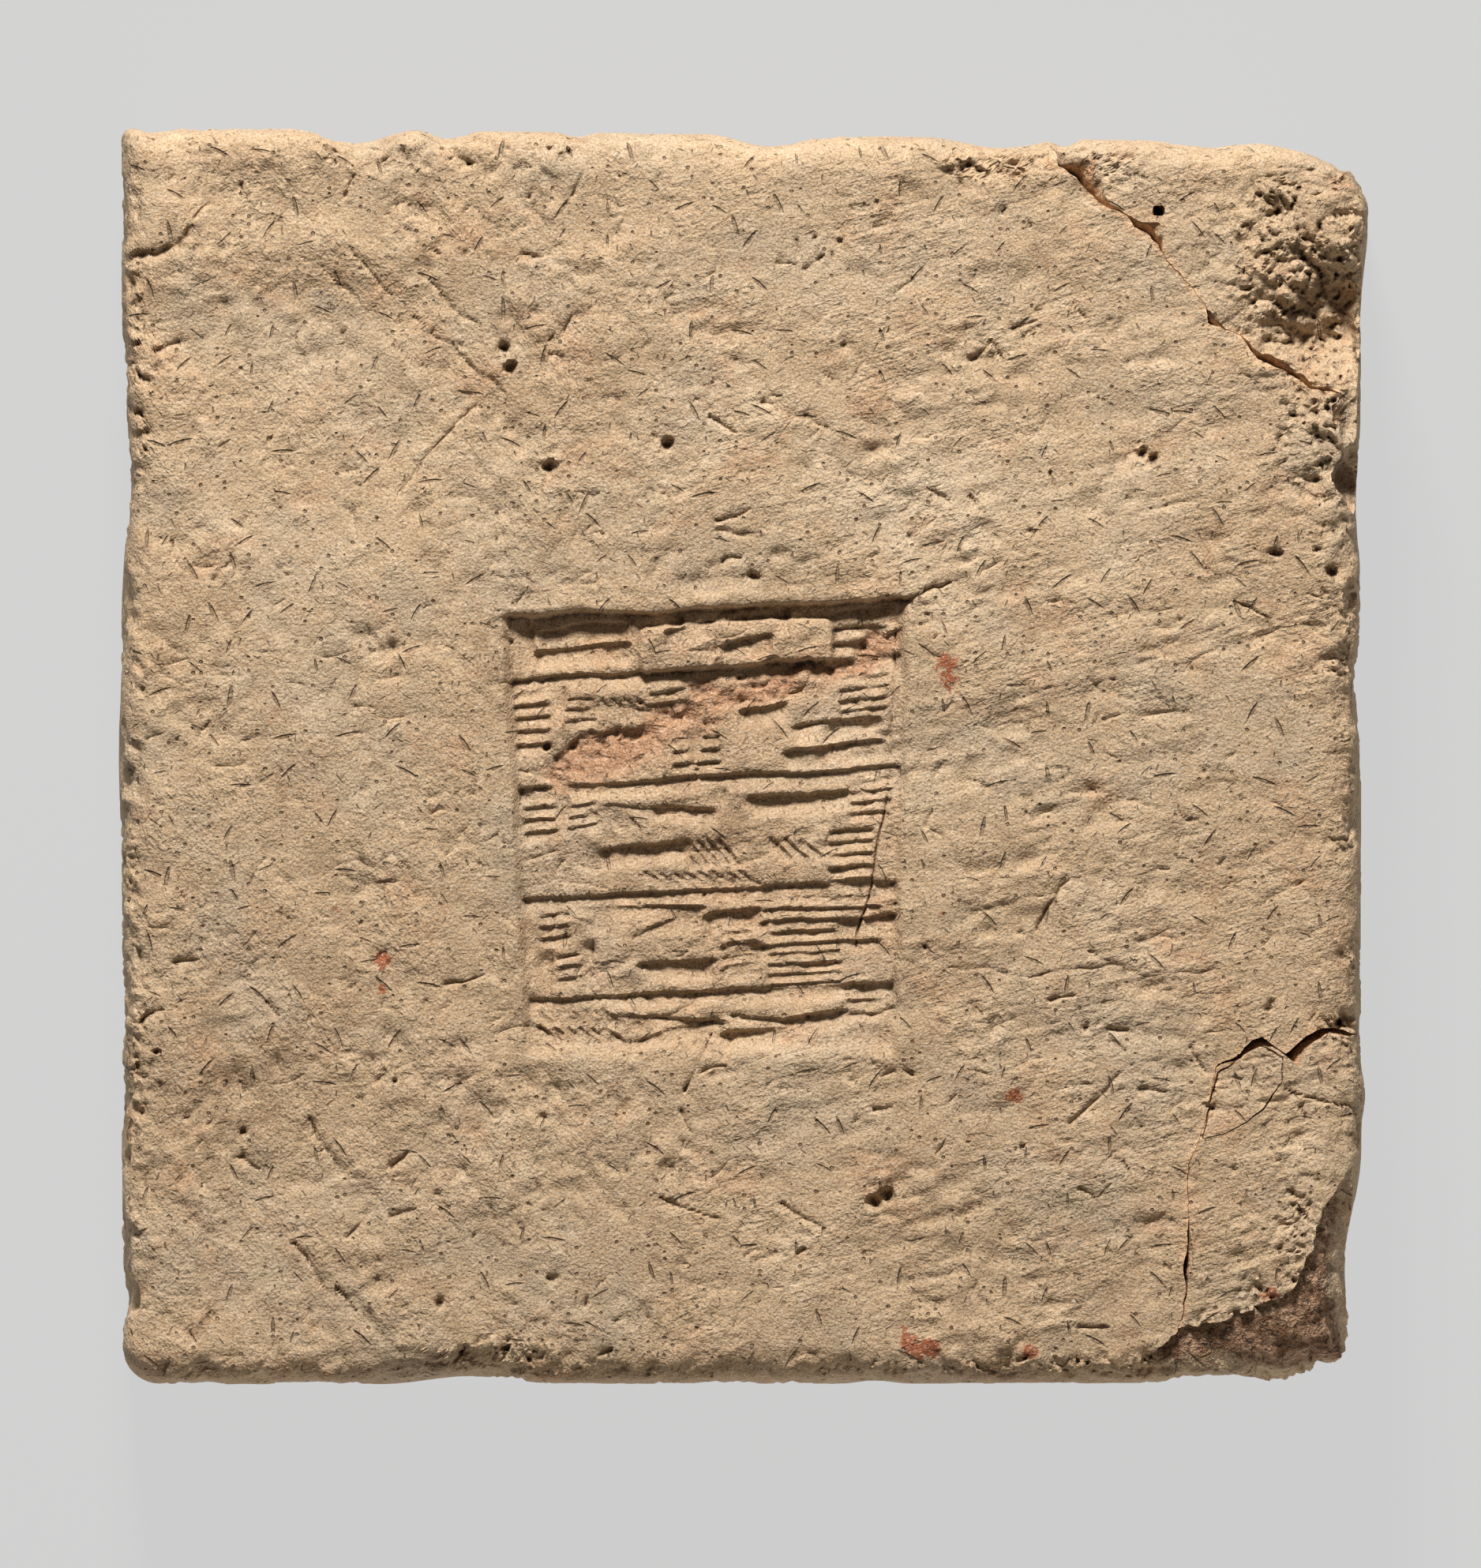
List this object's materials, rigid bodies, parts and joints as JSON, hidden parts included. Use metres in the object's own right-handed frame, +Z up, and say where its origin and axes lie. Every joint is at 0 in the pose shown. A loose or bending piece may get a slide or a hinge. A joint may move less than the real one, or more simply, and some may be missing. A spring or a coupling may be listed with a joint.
{
  "type": "stamped clay brick",
  "caption": "Square fired-clay brick lying flat, with a recessed panel of rows of shallow strokes in its upper face, worn edges, and broken corners set back in place.",
  "frame": {"origin": "middle of the underside, where the brick rests", "axes": "+Z up through the thickness, towards the stamped face; +Y towards the far edge, the top of the panel; +X to the right as the panel is looked at"},
  "size_m": [0.33, 0.332, 0.08],
  "materials": {
    "fired_clay": "matt, straw-marked, weathered"
  },
  "bodies": {
    "root": {"brick_body": "fired_clay", "upper_right_corner": "fired_clay", "lower_right_corner": "fired_clay", "lower_right_wedge": "fired_clay"}
  },
  "joints": []
}
